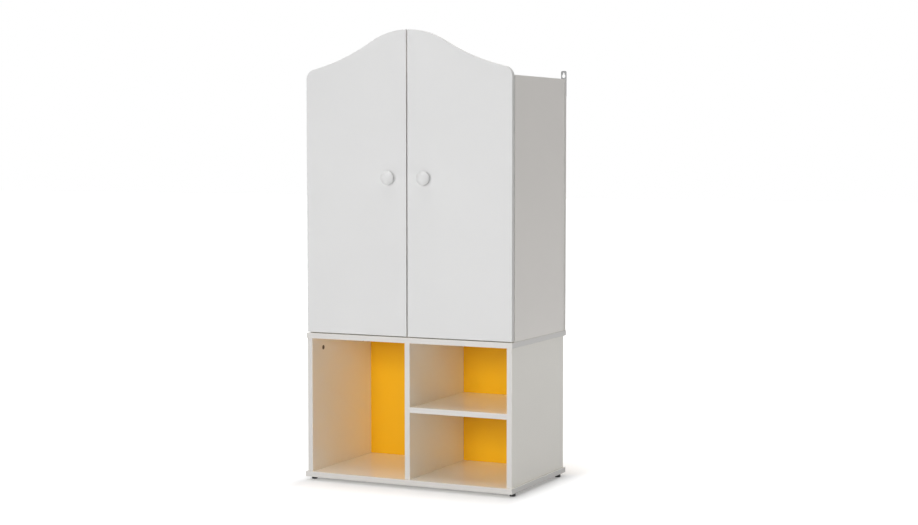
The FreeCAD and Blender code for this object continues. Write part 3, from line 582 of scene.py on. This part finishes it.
def beech():
    """Plain beech with long pores."""
    finish, tree, shader = new_finish("beech")
    dark_beech = (0.46, 0.29, 0.15, 1)
    light_beech = (0.68, 0.48, 0.29, 1)
    beech_gloss = (0.5, 0.7)
    pore_scale = 500
    place = add(tree, "TexCoord").outputs["Object"]
    grain = spread(tree, noise(tree, place, pore_scale, detail=5, stretch=(0.25, 1, 0.25)), 0, 1)
    paint(tree, shader, blend(tree, grain, dark_beech, light_beech), spread(tree, grain, *beech_gloss))
    emboss(tree, shader, grain, depth=0.0001, share=0.4)
    return finish


def soft_rubber():
    """Clear grey bumpers: soft, a little see-through, dusty."""
    finish, tree, shader = new_finish("clear_bumper")
    clear_grey = (0.74, 0.75, 0.76, 1)
    dusty_grey = (0.83, 0.83, 0.83, 1)
    bumper_gloss = (0.3, 0.5)
    dust_scale = 900
    place = add(tree, "TexCoord").outputs["Object"]
    dust = spread(tree, noise(tree, place, dust_scale, detail=4), 0, 1)
    paint(tree, shader, blend(tree, dust, clear_grey, dusty_grey), spread(tree, dust, *bumper_gloss))
    shader.inputs["Transmission Weight"].default_value = 0.45
    shader.inputs["IOR"].default_value = 1.45
    emboss(tree, shader, dust, depth=0.00005, share=0.3)
    return finish


# %% [markdown]
# ## Fittings
# Small fittings are bought by the bag and look the same wherever they sit. They could have a finish
# each, as the boards do, but nothing in their finish depends on the single piece, so every material
# slot of the frame gets one finish, shared by all its fittings.

# %% Finish the fittings
fitting_finishes = {
    "zinc_plate": metal("zinc_plate_finish", colour=(0.5, 0.505, 0.515), gloss=(0.3, 0.42),
                        grain=420, crystals=0.35),
    "chrome_tube": metal("chrome_tube_finish", colour=(0.78, 0.79, 0.80), gloss=(0.07, 0.13),
                         grain=900, stretch=(0.02, 1, 1)),
    "nickel_hinge": metal("nickel_hinge_finish", colour=(0.66, 0.65, 0.62), gloss=(0.19, 0.26),
                          grain=500, stretch=(1, 0.15, 1)),
    "steel_screw": metal("zinc_screw_finish", colour=(0.58, 0.58, 0.59), gloss=(0.28, 0.42),
                         grain=700, crystals=0.2),
    "cast_cam": metal("cast_cam_finish", colour=(0.2, 0.19, 0.18), gloss=(0.45, 0.6),
                      grain=900, crystals=0.3),
    "black_plastic": black_plastic(),
    "beech_dowel": beech(),
    "soft_bumper": soft_rubber(),
}
for node, slot in slots.items():
    if slot in fitting_finishes:
        nodes[node].material_slots[0].material = fitting_finishes[slot]
print(len(fitting_finishes), "finishes for the fittings")

# %% [markdown]
# ## Rounded edges
# No sawn or stamped edge is perfectly sharp, and the thin highlight along a rounded edge is what makes
# a board look like a board. The frame's flat faces are cut into many triangles, which would make a
# bevel fold over itself, so each stack first welds the points, then melts the flat triangles together,
# and only then rounds the edges. Loop slide is off, because it drags the rim of a bore along the cuts
# in the face beside it. On boards only square edges are rounded, which spares the slanting edges where
# two bores cross. Hinge cups and rail sockets have walls too thin to round, and hinge pins are hidden,
# so these stay as they are.

# %% Round the edges
weld_reach = 0.00001
flat_turn = math.radians(0.5)
square_turn = math.radians(89)
fitting_turn = math.radians(30)
door_rounding = 0.0008
edge_rounding = {
    "white_board": 0.0006,
    "yellow_board": 0.0006,
    "zinc_plate": 0.0004,
    "cast_cam": 0.0001,
    "nickel_hinge": 0.0003,
    "black_plastic": 0.0004,
    "chrome_tube": 0.0003,
}
left_plain = ("_pins", "_cups", "_socket")


def round_edges(piece, radius, least_turn):
    """Weld, melt the flat triangles together and bevel the edges that turn by more than an angle."""
    weld = piece.modifiers.new("weld_points", "WELD")
    weld.merge_threshold = weld_reach
    melt = piece.modifiers.new("melt_flats", "DECIMATE")
    melt.decimate_type = "DISSOLVE"
    melt.angle_limit = flat_turn
    bevel = piece.modifiers.new("round_edges", "BEVEL")
    bevel.width = radius
    bevel.segments = 3
    bevel.limit_method = "ANGLE"
    bevel.angle_limit = least_turn
    bevel.use_clamp_overlap = False
    bevel.loop_slide = False
    bevel.harden_normals = True


for node, slot in slots.items():
    if node.endswith("_door"):
        round_edges(nodes[node], door_rounding, square_turn)
    elif slot in edge_rounding and not node.endswith(left_plain):
        least_turn = square_turn if slot.endswith("_board") else fitting_turn
        round_edges(nodes[node], edge_rounding[slot], least_turn)
print("edges rounded on", sum(1 for node in slots if nodes[node].modifiers), "pieces")

# %% [markdown]
# ## Turned shapes from rings
# Screws, bolts, nuts and dowels are all round. They could be spun from a profile or cut with booleans,
# but then a recess or a thread needs a second tool and may leave stray faces. Here each is built from
# rings of points that are joined one to the next, and a ring need not be a circle: give it a radius
# that depends on the angle and it becomes a hexagon for a key, a cross for a screwdriver, or a slice
# of a thread.

# %% Helpers for rings
ring_points = 24
arm_share = math.tan(2 * math.pi / ring_points)
tiny_angle = 0.001


def circle(radius):
    """The same radius all round."""
    return lambda turn: radius


def hexagon(apothem):
    """A six-sided ring, sized from its middle to its flats."""
    def radius(turn):
        from_flat = (turn * 6) % 1 - 0.5
        return apothem / math.cos(from_flat * math.pi / 3)
    return radius


def cross(reach):
    """A cross-shaped ring for a screwdriver. The corners of its arms fall on points of the ring."""
    def radius(turn):
        from_arm = abs((turn * 4 + 0.5) % 1 - 0.5) * math.pi / 2
        if from_arm < tiny_angle:
            return reach
        return min(reach / math.cos(from_arm), arm_share * reach / math.sin(from_arm))
    return radius


def turned_shape(rings):
    """A closed shape from rings, each a height and a radius by the share of a turn."""
    shape = bmesh.new()
    loops = []
    for height, radius in rings:
        loop = []
        for step in range(ring_points):
            turn = step / ring_points
            out = radius(turn)
            angle = 2 * math.pi * turn
            loop.append(shape.verts.new((out * math.cos(angle), out * math.sin(angle), height)))
        loops.append(loop)
    for lower, upper in zip(loops, loops[1:]):
        for step in range(ring_points):
            after = (step + 1) % ring_points
            shape.faces.new((lower[step], lower[after], upper[after], upper[step]))
    shape.faces.new(reversed(loops[0]))
    shape.faces.new(loops[-1])
    bmesh.ops.recalc_face_normals(shape, faces=shape.faces)
    return shape


# %% [markdown]
# ## Measuring the plain fasteners
# In the frame a fastener is a plain solid: a wide end for its head and a narrow one for its shank. Its
# place could be copied from the plans as numbers, but reading it from the mesh keeps the new shape
# right when the plans change. Loose parts of a mesh are found by walking along its edges, and each one
# then tells where its head is, which way it points and how thick it is.

# %% Helpers for measuring
end_slack = 0.0001
shank_slack = 1.02


def seat_of(points):
    """Measure one plain fastener: where its head is, which way it points, and its radii."""
    low = Vector([min(point[axis] for point in points) for axis in range(3)])
    high = Vector([max(point[axis] for point in points) for axis in range(3)])
    size = high - low
    along = max(range(3), key=lambda axis: size[axis])
    middle = (low + high) / 2

    def out(point):
        offset = point - middle
        offset[along] = 0
        return offset.length

    def widest(end):
        return max(out(point) for point in points if abs(point[along] - end) < end_slack)

    head_first = widest(low[along]) > widest(high[along])
    near, far = (low[along], high[along]) if head_first else (high[along], low[along])
    head = middle.copy()
    head[along] = near
    into = Vector((0, 0, 0))
    into[along] = 1 if head_first else -1
    shank = widest(far)
    neck = min(abs(point[along] - near) for point in points if out(point) < shank_slack * shank)
    return {"head": head, "into": into, "length": size[along], "head_radius": widest(near),
            "head_height": neck, "shank_radius": shank}


def seats(node):
    """Measure every fastener of a node, in a fixed order."""
    shape = bmesh.new()
    shape.from_mesh(nodes[node].data)
    bmesh.ops.remove_doubles(shape, verts=shape.verts, dist=weld_reach)
    waiting = set(shape.verts)
    found = []
    for first in shape.verts:
        if first not in waiting:
            continue
        waiting.remove(first)
        island = [first]
        for vert in island:
            for edge in vert.link_edges:
                other = edge.other_vert(vert)
                if other in waiting:
                    waiting.remove(other)
                    island.append(other)
        found.append(seat_of([vert.co for vert in island]))
    shape.free()
    return found


# %% [markdown]
# ## Putting a turned piece in place
# Identical fasteners sit together in one node of the frame, and they move with the door or the cabinet
# that they are screwed to. Each could be an object of its own, but one object for a node is easier to
# hang on the right body, takes the same finish, and stays inside the plain shape that it stands for.

# %% Helpers for placing
sharp_turn = math.radians(35)


def body_name(node):
    """The body that a node moves with."""
    return next(body for body, members in bodies.items() if node in members)


def stand_for(node, make_rings, name):
    """Build one piece in place of all fasteners of a node, from rings made for their measured size."""
    places = seats(node)
    joined = bmesh.new()
    for seat in places:
        shape = turned_shape(make_rings(seat))
        swing = Vector((0, 0, 1)).rotation_difference(seat["into"]).to_matrix()
        for vert in shape.verts:
            vert.co = swing @ vert.co + seat["head"]
        mesh = bpy.data.meshes.new("one_fastener")
        shape.to_mesh(mesh)
        shape.free()
        joined.from_mesh(mesh)
        bpy.data.meshes.remove(mesh)
    mesh = bpy.data.meshes.new(name)
    joined.to_mesh(mesh)
    joined.free()
    mesh.shade_smooth()
    mesh.set_sharp_from_angle(angle=sharp_turn)
    piece = bpy.data.objects.new(name, mesh)
    bpy.context.scene.collection.objects.link(piece)
    mesh.materials.append(fitting_finishes[slots[node]])
    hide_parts(node)
    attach(piece, body_name(node))
    return len(places)


# %% [markdown]
# ## Threads
# Wood screws are coarse and end in a point, machine screws are fine and end flat. The Screw modifier
# could wind a profile into a thread, but its ends stay open. Here a thread is a ring whose radius waves
# once round the screw and slips along as it climbs, so it closes by itself at head and tip.

# %% Helper for threads
fit_share = 0.985
rings_per_pitch = 4
point_length = 2.2
flat_length = 0.5


def thread(seat, pitch, pointed):
    """Rings of a threaded shank, from under the head to the tip."""
    root_share = 0.72 if pointed else 0.84
    tip_share = 0.06 if pointed else 0.8
    taper = point_length * seat["shank_radius"] if pointed else flat_length * pitch
    crest = fit_share * seat["shank_radius"]
    root = root_share * crest
    start, end = seat["head_height"], seat["length"]
    count = int((end - start) / pitch * rings_per_pitch)
    rings = []
    for step in range(count + 1):
        height = start + (end - start) * step / count
        narrow = tip_share + (1 - tip_share) * min(1.0, (end - height) / taper)
        swell = min(1.0, (height - start) / pitch)

        def radius(turn, height=height, narrow=narrow, swell=swell):
            wave = (height / pitch - turn) % 1
            ridge = 1 - abs(2 * wave - 1)
            return narrow * (root + (crest - root) * ridge * swell)

        rings.append((height, radius))
    return rings


# %% [markdown]
# ## Heads and recesses
# Screws that a screwdriver turns have a cross in a rounded or countersunk head, and the furniture
# screws and stacking bolts take a hexagon key in a low cap. A recess could be cut out of a finished
# head, but with rings it is only a few more of them, from the floor of the hollow up to the face and
# then on down the outside. A rounded head has a small flat land there, so that no lip is left.

# %% Recipes for screws
land_height = 0.02
pan_steps = ((land_height, 0.54), (0.1, 0.66), (0.28, 0.86), (0.55, 0.97), (0.8, 1.0), (1.0, 1.0))
flat_steps = ((0.0, 0.96), (0.03, 0.985))
disc_steps = ((0.0, 0.86), (0.08, 0.93), (0.25, 0.985), (0.5, 1.0), (1.0, 1.0))
neck_share = 0.99
cross_steps = ((1.0, 0.35), (0.8, 0.8))
cross_depth = 0.8
cross_reach = 0.5
key_depth = 0.75
key_shoulder = 0.9
key_floor = 0.9


def head_rings(seat, steps):
    """Rings of a head from steps of height and width, as shares of the measured head."""
    wide, tall = seat["head_radius"], seat["head_height"]
    return [(rise * tall, circle(out * wide)) for rise, out in steps]


def pan_head(seat):
    """A rounded head with a small flat land round its recess."""
    return head_rings(seat, pan_steps)


def flat_head(seat):
    """A countersunk head, its rim just broken."""
    neck = (seat["head_height"], circle(neck_share * seat["shank_radius"]))
    return head_rings(seat, flat_steps) + [neck]


def disc_head(seat):
    """A low cap with a rounded rim."""
    return head_rings(seat, disc_steps)


def cross_screw(pitch, head=pan_head, pointed=True):
    """A recipe for a screw with a cross recess."""
    def make(seat):
        rim = land_height * seat["head_height"] if head is pan_head else 0
        deep = cross_depth * seat["head_height"]
        reach = cross_reach * seat["head_radius"]
        hollow = [(rise * deep, cross(out * reach)) for rise, out in cross_steps]
        return hollow + [(rim, cross(reach))] + head(seat) + thread(seat, pitch, pointed)
    return make


def key_hole(floor, shoulder, key):
    """Rings of a hole for a hexagon key, sized to the middle of its flats, up to the face."""
    return [(floor, hexagon(key_floor * key)), (shoulder, hexagon(key)), (0, hexagon(key))]


def key_screw(pitch, head, pointed, key):
    """A recipe for a screw or bolt that takes a hexagon key."""
    def make(seat):
        deep = key_depth * seat["head_height"]
        return key_hole(deep, key_shoulder * deep, key) + head(seat) + thread(seat, pitch, pointed)
    return make


# %% [markdown]
# ## All the screws and bolts
# The wardrobe is held together by a handful of kinds: short wood screws for fittings, long furniture
# screws from below, stacking bolts between the two halves, and machine screws for hinge arms and knobs.
# They could be made one by one, but a table of recipes by node says at a glance which kind sits where.

# %% Make the screws
wood_pitch = 0.0018
arm_pitch = 0.0012
furniture_pitch = 0.003
bolt_pitch = 0.001
knob_pitch = 0.0007
furniture_key = 0.002
bolt_key = 0.0025
screw_recipes = {
    "glide_screws": cross_screw(wood_pitch),
    "back_panel_screws": cross_screw(wood_pitch, flat_head),
    "wall_bracket_screws": cross_screw(wood_pitch),
    "rail_socket_screws": cross_screw(wood_pitch),
    "base_panel_screws": key_screw(furniture_pitch, disc_head, True, furniture_key),
    "stacking_bolts": key_screw(bolt_pitch, disc_head, False, bolt_key),
}
for side in ("left_", "right_"):
    screw_recipes[side + "hinge_cup_screws"] = cross_screw(wood_pitch)
    screw_recipes[side + "hinge_plate_screws"] = cross_screw(wood_pitch)
    screw_recipes[side + "hinge_arm_screws"] = cross_screw(arm_pitch)
    screw_recipes[side + "knob_screw"] = cross_screw(knob_pitch, pan_head, False)
screw_count = 0
for node, recipe in screw_recipes.items():
    screw_count += stand_for(node, recipe, node + "_threaded")
print(screw_count, "screws and bolts with recess and thread")

# %% [markdown]
# ## Nuts, cam bolts and dowels
# A sleeve nut is a cap with a ribbed sleeve and a bore. A cam bolt has a waist under its round head,
# where the cam grips it. Dowels are fluted so that glue can climb along them, with chamfered ends. They
# could stay plain, as hardly any of them shows, but they come out when the wardrobe is taken apart,
# and with the rings at hand each takes only a few lines.

# %% Make the other turned pieces
nut_bore = 0.0031
nut_rib = 0.0003
nut_hole_floor = 0.7
nut_hole_shoulder = 0.62
nut_bore_end = 1.02
rib_end = 0.94
sleeve_end = 0.92
cam_pitch = 0.002
cam_collar = (0.97, 0.98)
cam_neck = 0.72
cam_steps = ((0.0, 0.55), (0.0008, 0.85), (0.002, 0.98), (0.0035, 0.85), (0.0042, 0.55), (0.0085, 0.55),
             (0.0095, 0.98))
dowel_chamfer = 0.0012
dowel_flute = 0.0003
dowel_tip = 0.78


def ribbed(radius, depth):
    """A ring with a shallow rib on every second point."""
    return lambda turn: radius - (depth if round(turn * ring_points) % 2 else 0)


def sleeve_nut(seat):
    """A cap with a key hole, a ribbed sleeve, and a bore from its open end."""
    tall, long = seat["head_height"], seat["length"]
    sleeve = fit_share * seat["shank_radius"]
    walls = key_hole(nut_hole_floor * tall, nut_hole_shoulder * tall, bolt_key)
    ribs = ribbed(sleeve, nut_rib)
    outside = [(tall, ribs), (rib_end * long, ribs), (long, circle(sleeve_end * sleeve))]
    inside = [(long, circle(nut_bore)), (nut_bore_end * tall, circle(nut_bore))]
    return walls + disc_head(seat) + outside + inside


def cam_bolt(seat):
    """A smooth bolt with a round head and a waist at one end and a thread at the other."""
    thick = seat["head_radius"]
    screwed = seat["head_height"]
    smooth = [(rise, circle(out * thick)) for rise, out in cam_steps]
    collar = (cam_collar[0] * screwed, circle(cam_collar[1] * thick))
    neck = (screwed, circle(cam_neck * seat["shank_radius"]))
    return smooth + [collar, neck] + thread(seat, cam_pitch, False)[1:]


def fluted_dowel(seat):
    """A wooden dowel with flutes and chamfered ends."""
    wide, long = fit_share * seat["shank_radius"], seat["length"]
    tip = circle(dowel_tip * wide)
    flutes = ribbed(wide, dowel_flute)
    return [(0, tip), (dowel_chamfer, flutes), (long - dowel_chamfer, flutes), (long, tip)]


turned_count = stand_for("stacking_sleeve_nuts", sleeve_nut, "stacking_sleeve_nuts_ribbed")
for unit in ("base", "wardrobe"):
    turned_count += stand_for(unit + "_cam_bolts", cam_bolt, unit + "_cam_bolts_turned")
    turned_count += stand_for(unit + "_dowels", fluted_dowel, unit + "_dowels_fluted")
print(turned_count, "nuts, cam bolts and dowels")
